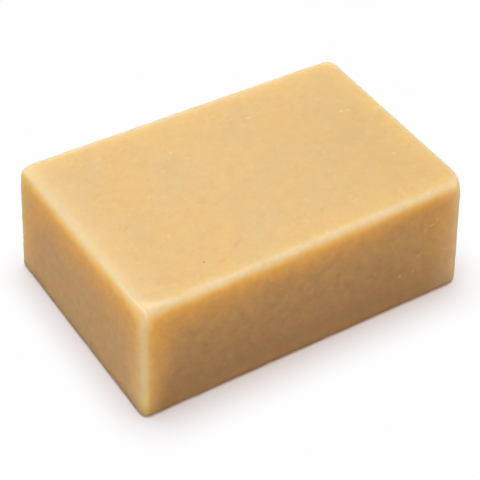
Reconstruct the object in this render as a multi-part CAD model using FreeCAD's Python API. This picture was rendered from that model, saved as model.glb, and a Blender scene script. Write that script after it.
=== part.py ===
"""A plain bar of soap: one moulded block, a little wider at its base than at its top.

Sizes are in millimetres. The bar stands on its widest face. The origin is the middle
of that face, with +X along the bar, +Y across it and +Z up, so the front of the bar
is its -Y side and the left end is its -X side.
"""
import FreeCAD, Part
import math
import os

# Driving dimensions
BAR_LENGTH = 82.0               # along X, measured at the base
BAR_WIDTH = 54.0                # along Y, measured at the base
BAR_HEIGHT = 28.4               # from the face it stands on to the top face
SIDE_DRAFT_DEG = 2.0            # all four sides lean inwards, so the bar slid out of its mould
FRONT_LEFT_EDGE_RADIUS = 2.2    # the four upright edges, each worn round by its own amount
FRONT_RIGHT_EDGE_RADIUS = 4.4
BACK_RIGHT_EDGE_RADIUS = 3.6
BACK_LEFT_EDGE_RADIUS = 1.5
TOP_RIM_RADIUS = 1.8            # the soft rim all round the top face
BASE_EDGE_RADIUS = 0.7          # the crisper edge all round the face it stands on

# An edge counts as lying at a level when both its ends are this close to it
LEVEL_TOLERANCE = 0.001


def drafted_block(length, width, height, draft_deg):
    """A sharp-edged block on the ground plane whose four sides lean inwards."""
    lean = height * math.tan(math.radians(draft_deg))
    half_length = length / 2.0
    half_width = width / 2.0
    # A wedge is drawn with its height along Y, then stood up
    block = Part.makeWedge(
        -half_length, 0.0, -half_width,
        -half_width + lean, -half_length + lean,
        half_length, height, half_width,
        half_width - lean, half_length - lean)
    block.rotate(FreeCAD.Vector(0, 0, 0), FreeCAD.Vector(1, 0, 0), 90)
    return block


def upright_edge(block, side_x, side_y):
    """The upright edge that stands furthest out towards one corner of the plan."""
    uprights = [edge for edge in block.Edges if edge.BoundBox.ZLength > BAR_HEIGHT / 2.0]
    return max(uprights, key=lambda e: side_x * e.CenterOfMass.x + side_y * e.CenterOfMass.y)


def edges_at_level(block, level):
    """The edges that lie wholly at one height."""
    found = []
    for edge in block.Edges:
        box = edge.BoundBox
        if max(abs(box.ZMin - level), abs(box.ZMax - level)) < LEVEL_TOLERANCE:
            found.append(edge)
    return found


def soap_bar():
    """The whole bar: drafted block, worn upright edges, soft top rim, crisper base edge."""
    bar = drafted_block(BAR_LENGTH, BAR_WIDTH, BAR_HEIGHT, SIDE_DRAFT_DEG)
    corners = (
        (-1, -1, FRONT_LEFT_EDGE_RADIUS),
        (1, -1, FRONT_RIGHT_EDGE_RADIUS),
        (1, 1, BACK_RIGHT_EDGE_RADIUS),
        (-1, 1, BACK_LEFT_EDGE_RADIUS),
    )
    for side_x, side_y, radius in corners:
        bar = bar.makeFillet(radius, [upright_edge(bar, side_x, side_y)])
    bar = bar.makeFillet(TOP_RIM_RADIUS, edges_at_level(bar, BAR_HEIGHT))
    bar = bar.makeFillet(BASE_EDGE_RADIUS, edges_at_level(bar, 0.0))
    return bar.Solids[0]


os.makedirs("parts", exist_ok=True)
bar = soap_bar()
bar.exportStep("parts/soap_bar.step")
print("soap_bar: valid", bar.isValid(), "volume", round(bar.Volume / 1000.0, 2), "cubic cm")
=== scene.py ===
# %% [markdown]
# # A bar of soap
#
# The object is one moulded block of honey-coloured soap. It stands on its widest face,
# its sides lean in a little, and every edge has been worn round by handling. Soap is
# waxy: light goes in, wanders about and comes out somewhere else, and that glow is
# most of what tells the eye that this is soap and not painted wood.
#
# This first step loads the imported model. It gives the bar's true size and place, and
# everything below is worked out from it. The box is kept, to be printed at the end
# beside the box of the finished model.

# %% Load the imported bar
import bpy
import bmesh
import math
import random
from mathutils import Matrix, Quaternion, Vector, noise


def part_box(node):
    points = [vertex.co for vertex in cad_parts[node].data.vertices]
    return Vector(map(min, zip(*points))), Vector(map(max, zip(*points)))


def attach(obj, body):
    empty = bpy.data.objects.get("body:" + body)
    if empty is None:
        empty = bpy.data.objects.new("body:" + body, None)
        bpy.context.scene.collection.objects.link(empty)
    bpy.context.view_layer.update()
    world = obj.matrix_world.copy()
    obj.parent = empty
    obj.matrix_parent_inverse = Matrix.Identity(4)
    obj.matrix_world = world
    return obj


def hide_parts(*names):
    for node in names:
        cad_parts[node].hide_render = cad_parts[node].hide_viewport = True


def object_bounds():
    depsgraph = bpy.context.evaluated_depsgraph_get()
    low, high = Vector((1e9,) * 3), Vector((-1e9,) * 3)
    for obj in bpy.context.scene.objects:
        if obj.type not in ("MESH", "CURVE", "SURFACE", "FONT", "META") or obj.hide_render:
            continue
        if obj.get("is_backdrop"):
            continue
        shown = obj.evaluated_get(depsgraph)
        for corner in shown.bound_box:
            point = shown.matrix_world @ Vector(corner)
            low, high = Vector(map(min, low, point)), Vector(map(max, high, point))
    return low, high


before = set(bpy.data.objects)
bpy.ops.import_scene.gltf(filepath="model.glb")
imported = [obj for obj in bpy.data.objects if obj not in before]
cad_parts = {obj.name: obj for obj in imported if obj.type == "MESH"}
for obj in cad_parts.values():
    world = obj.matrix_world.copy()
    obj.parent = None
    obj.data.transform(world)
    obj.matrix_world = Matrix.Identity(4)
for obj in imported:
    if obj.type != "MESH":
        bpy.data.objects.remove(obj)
cad_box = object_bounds()
bar_low, bar_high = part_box("soap_bar")
bar_size = bar_high - bar_low
MM = 0.001
print("bar size in mm:", [round(side / MM, 1) for side in bar_size])

# %% [markdown]
# ## The block
#
# On the real bar this is the moulded shape before anyone used it. It could be cut out
# of a solid or drawn as a profile, but a cube is quicker and cleaner: it is stretched
# to the bar's size, its top is drawn in to give the sides their lean, and then the
# edges are bevelled in the order in which they wear. The upright edges come first,
# each with its own radius, so that the rim and the base edge can run round them.
#
# A bar in use does not stay even: each top corner of this one has come in by its own
# small amount. The upright edges are drawn a little tighter than they measure, because
# the net that is laid over the block in the next step rounds every edge a bit further.

# %% Stretch a cube to the bar and lean its sides in
SIDE_DRAFT = math.radians(2.0)
# How far each top corner has moved, found by the sides in X and Y that it is on
TOP_SHIFTS = {
    (-1, -1): Vector((-0.32, 0.53, 0.0)) * MM,
    (1, -1): Vector((-0.17, 1.00, 0.0)) * MM,
    (1, 1): Vector((-0.13, 0.29, 0.0)) * MM,
    (-1, 1): Vector((-0.52, 0.80, 0.0)) * MM,
}
lean = bar_size.z * math.tan(SIDE_DRAFT)

block = bmesh.new()
bmesh.ops.create_cube(block, size=1.0)
bmesh.ops.scale(block, vec=bar_size, verts=block.verts)
bmesh.ops.translate(block, vec=(bar_low + bar_high) / 2, verts=block.verts)
top_corners = [corner for corner in block.verts if corner.co.z > bar_size.z / 2]
draw_in = Vector((1 - 2 * lean / bar_size.x, 1 - 2 * lean / bar_size.y, 1))
bmesh.ops.scale(block, vec=draw_in, verts=top_corners)
for corner in top_corners:
    side_x = 1 if corner.co.x > 0 else -1
    side_y = 1 if corner.co.y > 0 else -1
    corner.co += TOP_SHIFTS[(side_x, side_y)]
print("sides lean in by", round(lean / MM, 2), "mm")

# %% Round the upright edges, each by its own wear
ROUND_STEPS = 8
UPRIGHT_RADII = {(-1, -1): 2.0 * MM, (1, -1): 3.9 * MM, (1, 1): 2.9 * MM, (-1, 1): 1.2 * MM}


def round_edges(mesh, edges, radius):
    """Bevel the edges to a round of this radius."""
    bmesh.ops.bevel(mesh, geom=edges, offset=radius, offset_type="OFFSET", affect="EDGES",
                    segments=ROUND_STEPS, profile=0.5, material=-1, clamp_overlap=False)


def middle(edge):
    """The point half way along an edge."""
    return (edge.verts[0].co + edge.verts[1].co) / 2


for (side_x, side_y), radius in UPRIGHT_RADII.items():
    uprights = [edge for edge in block.edges if abs(edge.verts[0].co.z - edge.verts[1].co.z) > lean]
    outermost = max(uprights, key=lambda edge: side_x * middle(edge).x + side_y * middle(edge).y)
    round_edges(block, [outermost], radius)
print("upright edges rounded:", len(UPRIGHT_RADII))

# %% Round the top rim and the base edge
TOP_RIM_RADIUS = 1.8 * MM
BASE_EDGE_RADIUS = 0.7 * MM


def edges_at(mesh, level):
    """The edges that lie at one height."""
    near = 0.01 * MM
    return [edge for edge in mesh.edges if all(abs(end.co.z - level) < near for end in edge.verts)]


round_edges(block, edges_at(block, bar_high.z), TOP_RIM_RADIUS)
round_edges(block, edges_at(block, bar_low.z), BASE_EDGE_RADIUS)
print("block:", len(block.verts), "points,", len(block.faces), "faces")

# %% [markdown]
# ## An even skin to shape
#
# The block's flat sides are single faces, and a single face can't hold a hollow or a
# nick. The Remesh modifier lays an even net of small squares over the whole form, like
# the clay a sculptor would start from. The squares are under half a millimetre, which
# is fine enough for the wear of the rim.

# %% Lay an even net over the block
NET_SIZE = 0.43 * MM
SMOOTH_PASSES = 4


def evened(mesh, name, net_size):
    """A copy of the form as an even net of squares."""
    rough_data = bpy.data.meshes.new(name + "_block")
    mesh.to_mesh(rough_data)
    rough = bpy.data.objects.new(name + "_block", rough_data)
    bpy.context.scene.collection.objects.link(rough)
    remesh = rough.modifiers.new("even_net", "REMESH")
    remesh.mode = "VOXEL"
    remesh.voxel_size = net_size
    seen = rough.evaluated_get(bpy.context.evaluated_depsgraph_get())
    even_data = bpy.data.meshes.new_from_object(seen)
    bpy.data.objects.remove(rough)
    bpy.data.meshes.remove(rough_data)
    return even_data


def smooth(mesh, points, times):
    """Draw each point half way to the middle of its neighbours, again and again."""
    for _ in range(times):
        bmesh.ops.smooth_vert(
            mesh, verts=points, factor=0.5, use_axis_x=True, use_axis_y=True, use_axis_z=True)


skin_data = evened(block, "soap_bar", NET_SIZE)
block.free()
skin = bmesh.new()
skin.from_mesh(skin_data)
smooth(skin, skin.verts, SMOOTH_PASSES)
skin.normal_update()
print("skin:", len(skin.verts), "points,", len(skin.faces), "faces")

# %% [markdown]
# ## Where hands wear the bar
#
# Edges stand proud, so they are rubbed paler and smoother than the flats, and the
# material paints a highlight over that paleness too. To find them, a copy of the skin is
# smoothed much further: where the copy sinks below the skin, the skin stands proud. That
# depth is kept on every point as an attribute named worn, from 0 on the flats to 1 on the
# rim, and both the shaping and the material read it.

# %% Measure how proud each point stands
PROUD_PASSES = 30
FULL_WEAR = 0.16 * MM

softened = skin.copy()
smooth(softened, softened.verts, PROUD_PASSES)
softened.verts.ensure_lookup_table()
skin.verts.ensure_lookup_table()
proud = [(point.co - softened.verts[point.index].co).dot(point.normal) for point in skin.verts]
softened.free()
wear = [min(max(depth / FULL_WEAR, 0.0), 1.0) for depth in proud]
print("points on worn edges:", sum(1 for share in wear if share > 0.5))
print("the proudest stands out by", round(max(proud) / MM, 3), "mm")

# %% [markdown]
# ## How near the rim each point lies
#
# Light that enters through an edge comes out beside it warm and strong, and the colour
# paints that glow, so it needs to know how far each point is from the nearest lit edge:
# the top rim or one of the upright edges, but not the base edge, which lies on the floor.
# Every point has three distances, to the top, to the nearer long side and to the nearer
# end. The smallest says which face it is on, and the second says how far away the edge is.

# %% Measure the way to the nearest lit edge
slope = math.tan(SIDE_DRAFT)


def edge_gap(place):
    """Metres from a point of the surface to the nearest upright edge or the top rim."""
    drawn_in = (place.z - bar_low.z) * slope
    to_end = bar_size.x / 2 - drawn_in - abs(place.x)
    to_side = bar_size.y / 2 - drawn_in - abs(place.y)
    to_top = bar_high.z - place.z
    return sorted((to_end, to_side, to_top))[1]


gaps = [edge_gap(point.co) for point in skin.verts]
print("farthest from an edge:", round(max(gaps) / MM, 1), "mm")

# %% [markdown]
# ## Corners rubbed rounder
#
# Hands and wet dishes round the rim of a bar before they touch its flats, and its
# corners most of all. A carver would rub them down with a wet cloth. Here the points
# near the left rim and near three of the top corners are smoothed a few times, which
# does the same: what stands out goes down, and nothing grows.

# %% Rub the left rim and the corners rounder
RIM_REACH = 5.0 * MM
RIM_RUBS = 14
# How far the widest patch at a corner reaches, and how often each of its patches is rubbed
CORNER_RUBS = {(-1, -1): (5.0 * MM, 16), (1, -1): (5.5 * MM, 11), (-1, 1): (2.8 * MM, 1)}
RUB_RINGS = (1.0, 0.85, 0.7, 0.55)


def rub(points, times):
    """Round off a patch of the skin, as a thumb or a wet dish does."""
    smooth(skin, points, times)
    print("rubbed", len(points), "points", times, "times")


on_left_rim = [p for p in skin.verts if p.co.x < bar_low.x + RIM_REACH and p.co.z > bar_high.z - RIM_REACH]
rub(on_left_rim, RIM_RUBS)
for (side_x, side_y), (reach, times) in CORNER_RUBS.items():
    corner = Vector((side_x * (bar_size.x / 2 - lean), side_y * (bar_size.y / 2 - lean), bar_high.z))
    corner += TOP_SHIFTS[(side_x, side_y)]
    # Ever smaller patches, so that the rubbed corner runs into the flats without a crease
    for share in RUB_RINGS:
        rub([p for p in skin.verts if (p.co - corner).length < reach * share], times)
skin.normal_update()

# %% [markdown]
# ## Hollows, ripples and nicks
#
# No moulded bar is truly flat: the faces sink and swell by a hair as the soap dries,
# the rim ripples where fingers rubbed it, and small knocks leave nicks. Each point is
# moved inwards only, so the bar never grows past its real size. Smooth noise gives the
# slow shapes, and a short list of random places, always the same ones, gives the nicks.

# %% Sink the faces, ripple the rim and add nicks
FACE_SINK = 0.05 * MM
FACE_WAVE = 19.0 * MM
RIM_RIPPLE = 0.14 * MM
RIM_WAVE = 4.2 * MM
RIM_CHATTER = 0.10 * MM
RIM_CHATTER_WAVE = 1.5 * MM
NICK_COUNT = 90
NICK_RADIUS = (0.5 * MM, 1.4 * MM)
NICK_DEPTH = (0.03 * MM, 0.13 * MM)


def ripple(place, wave, shift):
    """Smooth noise from 0 to 1 with the given distance between its hills."""
    return 0.5 + 0.5 * noise.noise(place / wave + Vector((shift, shift, shift)))


chance = random.Random(7)
nicks = []
while len(nicks) < NICK_COUNT:
    index = chance.randrange(len(skin.verts))
    # An edge takes a knock far more often than the middle of a face
    if chance.random() < 0.15 + wear[index]:
        place = skin.verts[index].co.copy()
        nicks.append((place, chance.uniform(*NICK_RADIUS), chance.uniform(*NICK_DEPTH)))

sinks = []
for point, share in zip(skin.verts, wear):
    sink = FACE_SINK * ripple(point.co, FACE_WAVE, 3.0)
    sink += share * RIM_RIPPLE * ripple(point.co, RIM_WAVE, 11.0)
    sink += share * RIM_CHATTER * ripple(point.co, RIM_CHATTER_WAVE, 23.0)
    for place, reach, depth in nicks:
        gap = (point.co - place).length
        if gap < reach:
            sink += depth * (1 - (gap / reach) ** 2) ** 2
    sinks.append(sink)
for point, sink in zip(skin.verts, sinks):
    point.co -= point.normal * sink
print("deepest sink:", round(max(sinks) / MM, 3), "mm")

# %% [markdown]
# ## The finished piece
#
# The skin becomes one mesh object at the origin, with smooth shading. It stands for the
# CAD node, which is hidden, and rides on the part's only body.

# %% Make the piece and hand it to the frame
wear_layer = skin.verts.layers.float.new("worn")
gap_layer = skin.verts.layers.float.new("edge_gap")
for point, share, gap in zip(skin.verts, wear, gaps):
    point[wear_layer] = share
    point[gap_layer] = gap
for face in skin.faces:
    face.smooth = True
skin.to_mesh(skin_data)
skin.free()
skin_data.name = "soap_bar_skin"
soap = bpy.data.objects.new("soap_bar_skin", skin_data)
bpy.context.scene.collection.objects.link(soap)
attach(soap, "root")
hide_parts("soap_bar")
# The floor's own bounce does not see the bar, so the shadow on it stays nearly grey
soap.visible_diffuse = False
print("piece:", soap.name, len(skin_data.polygons), "faces")

# %% [markdown]
# ## The soap itself
#
# The material is one Principled shader with full subsurface scattering. Red light
# travels furthest in soap, green a little less and blue least, so the body glows warm.
# A picture could not be laid over it without seams at the edges, so the colours are
# made from noise and from the wear and distance that were measured on the mesh, and
# some of them are painted light. They go on in this order: clouds and mottle from the
# pour, the top in painted shade towards its right end and with a painted warm glow along
# its edges, painted shade on the long sides that deepens towards the floor, a paler top
# at the left end and painted light at the end corners, a painted amber glow beside each
# lit edge and at the foot, then grain, flecks, pits and scratches, the pale wear of the
# rim and the upright edges with a painted highlight over it, and last a painted glint
# on the left rim.

# %% Node helpers
soap_look = bpy.data.materials.new("honey_soap")
soap_look.use_nodes = True
tree = soap_look.node_tree
surface = tree.nodes["Principled BSDF"]


def join(source, target):
    """Wire one socket to another."""
    tree.links.new(source, target)


def feed(value, socket):
    """Give a socket its value: wired from another socket, or a plain number or colour."""
    if isinstance(value, bpy.types.NodeSocket):
        join(value, socket)
    else:
        socket.default_value = value


def spread(value, low, high, to_low=0.0, to_high=1.0):
    """Remap a value from one range to another, held at the ends."""
    made = tree.nodes.new("ShaderNodeMapRange")
    feed(value, made.inputs["Value"])
    feed(low, made.inputs["From Min"])
    feed(high, made.inputs["From Max"])
    feed(to_low, made.inputs["To Min"])
    feed(to_high, made.inputs["To Max"])
    return made.outputs["Result"]


def mixed(share, first, second):
    """A colour between two others, by a share from 0 to 1."""
    made = tree.nodes.new("ShaderNodeMix")
    made.data_type = "RGBA"
    feed(share, made.inputs[0])
    feed(first, made.inputs[6])
    feed(second, made.inputs[7])
    return made.outputs[2]


def reckon(operation, first, second):
    """Arithmetic on two values, each a socket or a number."""
    made = tree.nodes.new("ShaderNodeMath")
    made.operation = operation
    feed(first, made.inputs[0])
    feed(second, made.inputs[1])
    return made.outputs[0]


coordinates = tree.nodes.new("ShaderNodeTexCoord")
place = coordinates.outputs["Object"]
facing = coordinates.outputs["Normal"]


def noise_at(wave, detail=2.0, longer=1.0, turn=0.0, roughness=0.5, distortion=0.0, shift=0.0):
    """Noise whose hills are one wave apart, if asked drawn out longer along a turned line."""
    mapping = tree.nodes.new("ShaderNodeMapping")
    mapping.vector_type = "TEXTURE"
    mapping.inputs["Scale"].default_value = (wave * longer, wave, wave)
    mapping.inputs["Rotation"].default_value = (0, math.radians(turn), math.radians(turn))
    join(place, mapping.inputs["Vector"])
    made = tree.nodes.new("ShaderNodeTexNoise")
    made.noise_dimensions = "4D"
    made.inputs["W"].default_value = shift
    made.inputs["Scale"].default_value = 1.0
    made.inputs["Detail"].default_value = detail
    made.inputs["Roughness"].default_value = roughness
    made.inputs["Distortion"].default_value = distortion
    join(mapping.outputs["Vector"], made.inputs["Vector"])
    return made.outputs["Fac"]


print("helpers ready")

# %% Clouds, patches and mottle, with painted shade and a painted glow
HONEY = (0.755, 0.500, 0.200, 1)
COOL_CREAM = (0.700, 0.495, 0.230, 1)
SHADED_HONEY = (0.680, 0.455, 0.175, 1)
WARM_GLOW_HONEY = (0.780, 0.520, 0.185, 1)
DEEP_HONEY = (0.720, 0.430, 0.150, 1)
SHADED_SIDE_HONEY = (0.710, 0.388, 0.148, 1)
SHADED_SIDE_LOW = (0.456, 0.238, 0.102, 1)
SHADED_SIDE_DEEP = (0.520, 0.278, 0.106, 1)
END_HONEY = (0.785, 0.455, 0.220, 1)
GLOW_MARGIN = 9.0 * MM


def attribute(name):
    """A value that was measured on the mesh."""
    made = tree.nodes.new("ShaderNodeAttribute")
    made.attribute_name = name
    return made.outputs["Fac"]


def axis(vector, letter):
    """One number of a vector: X, Y or Z."""
    made = tree.nodes.new("ShaderNodeSeparateXYZ")
    join(vector, made.inputs[0])
    return made.outputs[letter]


edge_gap_here = attribute("edge_gap")
worn_here = attribute("worn")
facing_up = axis(facing, "Z")
facing_right = axis(facing, "X")
on_side = spread(facing_up, 0.3, 0.9, 1.0, 0.0)
on_end = spread(reckon("ABSOLUTE", facing_right, 0.0), 0.3, 0.9)
along = axis(place, "X")
towards_back = axis(place, "Y")
height_here = axis(place, "Z")

clouds = spread(noise_at(13 * MM, 4.0, distortion=0.6, shift=3), 0.36, 0.64)
colour = mixed(reckon("MULTIPLY", clouds, 0.8), HONEY, COOL_CREAM)
# Painted shade: the top darker towards the right end, less so towards the back
shaded_towards_right = spread(along, -5 * MM, 40 * MM, 0.0, 0.9)
shaded_towards_right = reckon("MULTIPLY", shaded_towards_right, spread(towards_back, 4 * MM, 22 * MM, 1.0, 0.4))
colour = mixed(shaded_towards_right, colour, SHADED_HONEY)
# Painted glow: the top warmer along its edges, where light comes out through them
glow_margin = spread(edge_gap_here, 1 * MM, GLOW_MARGIN, 0.9, 0.1)
uneven = spread(noise_at(6 * MM, 3.0, shift=9), 0.35, 0.65, 0.3, 1.0)
colour = mixed(reckon("MULTIPLY", glow_margin, uneven), colour, WARM_GLOW_HONEY)
# Painted shade: the long sides darker than the top and darker still towards the floor; the ends take their
# own colour
shaded_side_colour = mixed(spread(height_here, 1 * MM, 18 * MM), SHADED_SIDE_LOW, SHADED_SIDE_HONEY)
shaded_side_colour = mixed(on_end, shaded_side_colour, END_HONEY)
colour = mixed(reckon("MULTIPLY", on_side, 0.85), colour, shaded_side_colour)
mottle = spread(noise_at(2.3 * MM, 5.0, longer=1.5, turn=40, roughness=0.65, shift=17), 0.42, 0.70)
mottle_share = spread(on_side, 0.0, 1.0, 0.45, 0.70)
# The mottle's dark colour is deeper on the sides, which are in painted shade
deep = mixed(reckon("SUBTRACT", on_side, on_end), DEEP_HONEY, SHADED_SIDE_DEEP)
colour = mixed(reckon("MULTIPLY", mottle, mottle_share), colour, deep)
print("body colour nodes:", len(tree.nodes))

# %% Paler at the left end of the top, and painted light at the end corners
LIT_END_CREAM = (0.850, 0.590, 0.345, 1)
DRY_TOP = (0.745, 0.560, 0.315, 1)
across = reckon("ABSOLUTE", towards_back, 0.0)
on_top = spread(on_side, 0.0, 1.0, 1.0, 0.0)
top_left_end = reckon("MULTIPLY", spread(along, -31 * MM, -39 * MM, 0.0, 0.55), on_top)
# Painted light: the ends are pale beside their upright edges, and so are the long sides near the right end
lit_end_uprights = reckon("MULTIPLY", spread(across, 19 * MM, 26 * MM, 0.0, 0.90), on_end)
lit_right_corner = reckon("MULTIPLY", spread(along, 31 * MM, 39 * MM, 0.0, 0.85), on_side)
uneven_share = spread(uneven, 0.3, 1.0, 0.75, 1.0)
colour = mixed(reckon("MULTIPLY", top_left_end, uneven_share), colour, DRY_TOP)
lit_ends = reckon("MAXIMUM", lit_end_uprights, lit_right_corner)
colour = mixed(reckon("MULTIPLY", lit_ends, uneven_share), colour, LIT_END_CREAM)
print("dry end nodes:", len(tree.nodes))

# %% Painted amber glow beside the lit edges and at the foot
GLOW_AMBER = (0.985, 0.560, 0.125, 1)
GLOW_AMBER_UPRIGHT = (0.985, 0.560, 0.185, 1)
FOOT_GLOW_AMBER = (0.900, 0.390, 0.145, 1)
# Painted glow: the light that comes out of the soap beside the rim and the upright edges, strongest near
# them
glow_reach = spread(noise_at(7 * MM, 2.0, shift=151), 0.3, 0.7, 9 * MM, 17 * MM)
glow_reach = reckon("ADD", glow_reach, spread(along, -20 * MM, -38 * MM, 0.0, 5 * MM))
glow_reach = reckon("MULTIPLY", glow_reach, spread(height_here, 3 * MM, 20 * MM, 0.35, 1.0))
glow_share = reckon("POWER", spread(edge_gap_here, 1.0 * MM, glow_reach, 1.0, 0.0), 2.0)
glow_share = reckon("MULTIPLY", glow_share, spread(along, 0.0, 30 * MM, 1.0, 0.72))
well_up = spread(height_here, 2 * MM, 16 * MM, 0.25, 1.0)
glow_beside_right_upright = reckon("MULTIPLY", spread(along, 20 * MM, 33 * MM, 0.0, 0.40), well_up)
glow_share = reckon("MAXIMUM", glow_share, glow_beside_right_upright)
amber = mixed(spread(height_here, 10 * MM, 22 * MM), GLOW_AMBER_UPRIGHT, GLOW_AMBER)
colour = mixed(reckon("MULTIPLY", reckon("MULTIPLY", glow_share, on_side), 0.95), colour, amber)
# Painted glow at the foot: warm amber there makes up for red light that leaks out through the base
foot_glow_share = spread(height_here, 0.0, 4.5 * MM, 0.45, 0.0)
colour = mixed(foot_glow_share, colour, FOOT_GLOW_AMBER)
print("amber nodes:", len(tree.nodes))


# %% Lighter and darker grain
def shaded(base, share):
    """The same colour, made lighter above 1 and darker below it."""
    made = tree.nodes.new("ShaderNodeVectorMath")
    made.operation = "SCALE"
    join(base, made.inputs[0])
    join(share, made.inputs["Scale"])
    return made.outputs["Vector"]


depth_of_grain = spread(on_side, 0.0, 1.0, 0.025, 0.065)
soft_grain = noise_at(1.9 * MM, 5.0, longer=1.5, turn=40, roughness=0.6, shift=131)
soft_grain = spread(soft_grain, 0.3, 0.7, -1.0, 1.0)
colour = shaded(colour, reckon("ADD", 1.0, reckon("MULTIPLY", depth_of_grain, soft_grain)))
print("grain nodes:", len(tree.nodes))

# %% Pale flecks, short strokes, dark pits and one stray speck
PALE_FLECK = (0.930, 0.680, 0.340, 1)
DARK_PIT = (0.600, 0.340, 0.110, 1)
SPECK_BROWN = (0.220, 0.110, 0.035, 1)
SPECK_PLACE = (-22.2, -18.5, 28.3)
SPECK_REACH = (0.38, 0.17, 0.60)
SPECK_TURN = -31


def marks_at(wave, low, high, longer=1.0, turn=0.0, shift=0.0):
    """Small ragged marks, gathered in loose groups, from 0 to 1."""
    ragged = spread(noise_at(wave, 2.0, longer, turn, shift=shift), low, high)
    grouped = spread(noise_at(6 * MM, 2.0, shift=shift + 5), 0.42, 0.60)
    return reckon("MULTIPLY", ragged, grouped)


flecks = marks_at(1.5 * MM, 0.58, 0.76, shift=31)
strokes = marks_at(0.8 * MM, 0.62, 0.78, 3.0, 12, shift=47)
more_strokes = marks_at(0.8 * MM, 0.62, 0.78, 3.0, 65, shift=59)
marks = reckon("MAXIMUM", flecks, reckon("MAXIMUM", strokes, more_strokes))
colour = mixed(reckon("MULTIPLY", marks, spread(on_side, 0.0, 1.0, 0.32, 0.14)), colour, PALE_FLECK)
dots = marks_at(0.9 * MM, 0.66, 0.74, shift=203)
colour = mixed(reckon("MULTIPLY", dots, 0.35), colour, PALE_FLECK)
pits = marks_at(1.3 * MM, 0.58, 0.76, 2.5, 15, shift=73)
colour = mixed(reckon("MULTIPLY", pits, spread(on_side, 0.0, 1.0, 0.35, 0.22)), colour, DARK_PIT)


def spot(centre, reach, turn=(0, 0, 0), share=1.0):
    """One oval mark round a point of the bar: full inside, gone at its outline."""
    oval = tree.nodes.new("ShaderNodeMapping")
    oval.vector_type = "TEXTURE"
    oval.inputs["Location"].default_value = Vector(centre) * MM
    oval.inputs["Rotation"].default_value = [math.radians(angle) for angle in turn]
    oval.inputs["Scale"].default_value = Vector(reach) * MM
    join(place, oval.inputs["Vector"])
    gap = tree.nodes.new("ShaderNodeVectorMath")
    gap.operation = "LENGTH"
    join(oval.outputs["Vector"], gap.inputs[0])
    return spread(gap.outputs["Value"], 0.5, 1.1, share, 0.0)


# The scratches and dots that stand out: centre and reach in mm, turn in degrees, strength
pale_spots = [
    spot((30.6, -26.0, 20.0), (0.9, 2.0, 0.32), (0, -10, 0), 0.60),
    spot((32.0, -26.0, 21.0), (0.8, 2.0, 0.25), (0, -50, 0), 0.50),
    spot((28.9, -26.0, 19.3), (0.9, 2.0, 0.25), (0, -64, 0), 0.40),
    spot((34.9, -26.0, 11.6), (1.3, 2.0, 0.40), (0, 15, 0), 0.35),
    spot((27.6, -26.0, 12.9), (0.40, 2.0, 0.36), share=0.45),
    spot((26.4, -26.0, 9.2), (0.36, 2.0, 0.38), share=0.45),
    spot((22.9, -26.0, 9.3), (0.40, 2.0, 0.38), share=0.50),
    spot((29.8, 7.9, 28.3), (0.50, 0.30, 1.0), (0, 0, 25), 0.55),
    spot((31.4, 7.4, 28.3), (0.55, 0.25, 1.0), (0, 0, -15), 0.45),
    spot((-10.4, 14.2, 28.3), (0.80, 0.30, 1.0), (0, 0, 30), 0.40),
    spot((10.4, 16.0, 28.3), (0.60, 0.35, 1.0), (0, 0, -20), 0.40),
]
for pale_spot in pale_spots:
    colour = mixed(pale_spot, colour, PALE_FLECK)
side_pit = spot((21.8, -26.0, 14.8), (0.28, 2.0, 0.20), share=0.6)
colour = mixed(side_pit, colour, DARK_PIT)
speck = spot(SPECK_PLACE, SPECK_REACH, (0, 0, SPECK_TURN), 0.85)
colour = mixed(speck, colour, SPECK_BROWN)
print("mark nodes:", len(tree.nodes))

# %% Paler where it is worn, with a painted highlight on the rim and upright edges
# Real wear and a painted highlight together: the rim and the upright edges are paler where rubbed, and
# painted paler still where they face the light
RIM_WEAR_AND_SHEEN = (0.790, 0.590, 0.365, 1)
CORNER_WEAR_AND_SHEEN = (0.740, 0.555, 0.325, 1)
UPRIGHT_WEAR_AND_SHEEN = (0.985, 0.622, 0.350, 1)
rim_wear_and_sheen = mixed(spread(along, -28 * MM, -37 * MM), RIM_WEAR_AND_SHEEN, CORNER_WEAR_AND_SHEEN)
wear_and_sheen_colour = mixed(spread(facing_up, 0.05, 0.40), UPRIGHT_WEAR_AND_SHEEN, rim_wear_and_sheen)
off_floor = spread(height_here, 0.5 * MM, 9 * MM)
patchy = spread(noise_at(1.3 * MM, 4.0, roughness=0.6, shift=83), 0.36, 0.64, 0.55, 1.0)
facing_left = reckon("MULTIPLY", facing_right, -1.0)
facing_out = reckon("ABSOLUTE", axis(facing, "Y"), 0.0)
on_rim = reckon("MULTIPLY", spread(facing_up, 0.15, 0.62), spread(along, 14 * MM, 37 * MM, 1.0, 0.65))
# The pale rim fades where it runs into the flat top, but not at the left end and the back
thin = reckon("MAXIMUM", spread(facing_up, 0.92, 0.985, 1.0, 0.35), spread(along, -32 * MM, -37 * MM))
thin = reckon("MAXIMUM", thin, spread(towards_back, 14 * MM, 20 * MM))
on_rim = reckon("MULTIPLY", on_rim, thin)
left_upright = reckon("MULTIPLY", spread(facing_left, 0.20, 0.40), spread(facing_left, 0.92, 1.0, 1.0, 0.6))
right_upright = spread(facing_right, -0.05, 0.55)
on_upright = reckon("MAXIMUM", left_upright, right_upright)
at_corner = reckon("MAXIMUM", spread(facing_up, 0.0, 0.3, 1.0, 0.0), spread(facing_out, 0.20, 0.40))
below_rim = spread(facing_up, 0.45, 0.80, 1.0, 0.0)
on_upright = reckon("MULTIPLY", on_upright, reckon("MULTIPLY", at_corner, below_rim))
worn_lit_rim = reckon("MULTIPLY", worn_here, on_rim)
worn_lit_upright = reckon("MULTIPLY", spread(worn_here, 0.05, 0.45), on_upright)
where_worn_and_lit = reckon("MAXIMUM", worn_lit_rim, worn_lit_upright)
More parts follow.
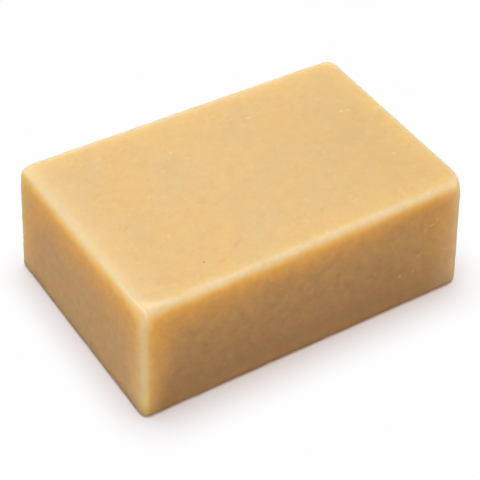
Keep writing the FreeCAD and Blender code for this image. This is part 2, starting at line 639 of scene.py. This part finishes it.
wear_and_sheen_share = reckon("MULTIPLY", reckon("MULTIPLY", where_worn_and_lit, off_floor), patchy)
colour = mixed(wear_and_sheen_share, colour, wear_and_sheen_colour)
print("wear nodes:", len(tree.nodes))

# %% A painted glint along the near end of the left rim
GLINT_PALE = (0.960, 0.780, 0.580, 1)
# Painted highlight: a thin pale line where the top meets the left rim, standing for the glint of a fine
# crease
crease_glint = reckon("MULTIPLY", spread(facing_left, 0.46, 0.54), spread(facing_left, 0.58, 0.68, 1.0, 0.0))
crease_glint = reckon("MULTIPLY", crease_glint, spread(facing_up, 0.3, 0.6))
crease_glint = reckon("MULTIPLY", crease_glint, spread(along, -39.0 * MM, -38.0 * MM, 1.0, 0.0))
crease_glint = reckon("MULTIPLY", crease_glint, spread(towards_back, -24 * MM, -13 * MM, 0.45, 0.0))
colour = mixed(crease_glint, colour, GLINT_PALE)
join(colour, surface.inputs["Base Color"])
print("colour nodes:", len(tree.nodes))

# %% Glow, gloss and fine relief
surface.inputs["Subsurface Weight"].default_value = 1.0
surface.inputs["Subsurface Radius"].default_value = (1.0, 0.85, 0.30)
surface.inputs["Subsurface Scale"].default_value = 9.0 * MM
surface.inputs["IOR"].default_value = 1.46
grain = noise_at(0.9 * MM, 4.0, roughness=0.6, shift=97)
satin = spread(grain, 0.3, 0.7, 0.36, 0.54)
join(reckon("SUBTRACT", satin, reckon("MULTIPLY", worn_here, 0.12)), surface.inputs["Roughness"])
bump = tree.nodes.new("ShaderNodeBump")
bump.inputs["Strength"].default_value = 0.35
bump.inputs["Distance"].default_value = 0.08 * MM
height = reckon("ADD", grain, reckon("MULTIPLY", marks, 0.4))
join(height, bump.inputs["Height"])
join(bump.outputs["Normal"], surface.inputs["Normal"])
soap.data.materials.clear()
soap.data.materials.append(soap_look)
print("soap material ready")

# %% [markdown]
# ## Floor, light and camera
#
# The bar lies on a white studio floor. One soft light overhead gives the top its level
# and throws the soft shadow. A photographer stands white boards round a thing to open
# up its dark sides, and four faint lights low all round do the same here. They reach
# only the bar, so the shadow stays as the overhead light made it. All of them are sun
# lamps with wide discs, which light every place alike, so nothing falls off to grey.
# The floor is white through its colour and a faint glow that only the camera sees, and
# neither throws light on the bar.

# %% A white floor that keeps the shadow
FLOOR_SIZE = 3.0  # metres from the middle to each side
# Painted bounce light: the floor's colour is cool and its glow warm, so the shadow comes out warm, as light
# thrown from the bar would make it
FLOOR_SEEN = (0.745, 0.911, 0.980, 1)
FLOOR_GLOW = (0.343, 0.190, 0.130, 1)
FLOOR_BOUNCE = (0.12, 0.12, 0.12, 1)
floor_mesh = bmesh.new()
bmesh.ops.create_grid(floor_mesh, x_segments=1, y_segments=1, size=FLOOR_SIZE)
floor_data = bpy.data.meshes.new("studio_floor")
floor_mesh.to_mesh(floor_data)
floor_mesh.free()
floor = bpy.data.objects.new("studio_floor", floor_data)
bpy.context.scene.collection.objects.link(floor)
floor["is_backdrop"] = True

floor_look = bpy.data.materials.new("white_floor")
floor_look.use_nodes = True
floor_tree = floor_look.node_tree
floor_surface = floor_tree.nodes["Principled BSDF"]
floor_surface.inputs["Roughness"].default_value = 0.9
floor_surface.inputs["Specular IOR Level"].default_value = 0.0
rays = floor_tree.nodes.new("ShaderNodeLightPath")
shown = floor_tree.nodes.new("ShaderNodeMix")
shown.data_type = "RGBA"
floor_tree.links.new(rays.outputs["Is Camera Ray"], shown.inputs[0])
shown.inputs[6].default_value = FLOOR_BOUNCE
shown.inputs[7].default_value = FLOOR_SEEN
floor_tree.links.new(shown.outputs[2], floor_surface.inputs["Base Color"])
glow = floor_tree.nodes.new("ShaderNodeMix")
glow.data_type = "RGBA"
floor_tree.links.new(rays.outputs["Is Camera Ray"], glow.inputs[0])
glow.inputs[6].default_value = (0, 0, 0, 1)
glow.inputs[7].default_value = FLOOR_GLOW
floor_tree.links.new(glow.outputs[2], floor_surface.inputs["Emission Color"])
floor_surface.inputs["Emission Strength"].default_value = 1.0
floor_data.materials.append(floor_look)
print("floor ready")

# %% A world that looks white and lights little
SKY_SHARE = 0.08
world = bpy.data.worlds.new("pale_studio")
bpy.context.scene.world = world
world.use_nodes = True
world_tree = world.node_tree
background = world_tree.nodes["Background"]
background.inputs["Color"].default_value = (1, 1, 1, 1)
world_rays = world_tree.nodes.new("ShaderNodeLightPath")
looked_at = world_rays.outputs["Is Camera Ray"]
for ray in ("Is Glossy Ray", "Is Transmission Ray"):
    either = world_tree.nodes.new("ShaderNodeMath")
    either.operation = "MAXIMUM"
    world_tree.links.new(looked_at, either.inputs[0])
    world_tree.links.new(world_rays.outputs[ray], either.inputs[1])
    looked_at = either.outputs[0]
level = world_tree.nodes.new("ShaderNodeMapRange")
world_tree.links.new(looked_at, level.inputs["Value"])
level.inputs["To Min"].default_value = SKY_SHARE
level.inputs["To Max"].default_value = 1.0
world_tree.links.new(level.outputs["Result"], background.inputs["Strength"])
print("world ready")


# %% One soft light above and four faint walls around
soap_only = bpy.data.collections.new("lit_by_the_walls")
soap_only.objects.link(soap)


def soft_light(name, tilt, turn, disc, share):
    """A sun lamp with a wide disc: tilt from overhead, turn from the front to the left."""
    data = bpy.data.lights.new(name, "SUN")
    data.angle = math.radians(disc)
    data.energy = math.pi * share
    made = bpy.data.objects.new(name, data)
    across = math.sin(math.radians(tilt))
    turned = math.radians(turn)
    towards = Vector((-across * math.sin(turned), -across * math.cos(turned), math.cos(math.radians(tilt))))
    made.rotation_mode = "QUATERNION"
    made.rotation_quaternion = towards.to_track_quat("Z", "Y")
    bpy.context.scene.collection.objects.link(made)
    return made


soft_light("overhead", tilt=5.5, turn=172, disc=38, share=0.80)
WALL_SHARES = {"front": 0.60, "left": 0.64, "back": 0.66, "right": 0.55}
for quarter, (side, share) in enumerate(WALL_SHARES.items()):
    wall = soft_light(side + "_wall", tilt=86, turn=90 * quarter, disc=30, share=share)
    wall.light_linking.receiver_collection = soap_only
    # So low a lamp would show as a white line in the gloss of the far rim
    wall.visible_glossy = False
print("lamps ready")

# %% The camera at the photograph's angle
AZIMUTH = math.radians(-34.77)
ELEVATION = math.radians(42.26)
ROLL = math.radians(3.15)
DISTANCE = 341.4 * MM
LENS_MM = 119.5
AIM = Vector((-3.66, -3.79, 14.2)) * MM

flat = math.cos(ELEVATION)
back = Vector((math.sin(AZIMUTH) * flat, -math.cos(AZIMUTH) * flat, math.sin(ELEVATION)))
camera_data = bpy.data.cameras.new("photo_camera")
camera_data.lens = LENS_MM
camera_data.sensor_width = 36
camera = bpy.data.objects.new("photo_camera", camera_data)
camera.location = AIM + back * DISTANCE
camera.rotation_mode = "QUATERNION"
camera.rotation_quaternion = Quaternion(back, ROLL) @ (-back).to_track_quat("-Z", "Y")
camera_data.clip_start = 0.01
camera_data.clip_end = 10
bpy.context.scene.collection.objects.link(camera)
bpy.context.scene.camera = camera
bpy.context.scene.view_settings.view_transform = "Standard"
print("camera ready")

# %% [markdown]
# ## Sizes and the end
#
# The box of the finished model is printed beside the CAD box, so that the two can be
# compared. The finished bar must not be larger than the real one.

# %% Print the sizes and finish
visual_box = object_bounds()
sizes = {"cad": [list(corner) for corner in cad_box], "visual": [list(corner) for corner in visual_box]}
for name, box in sizes.items():
    print(name, "box in mm:", [[round(value / MM, 2) for value in corner] for corner in box])
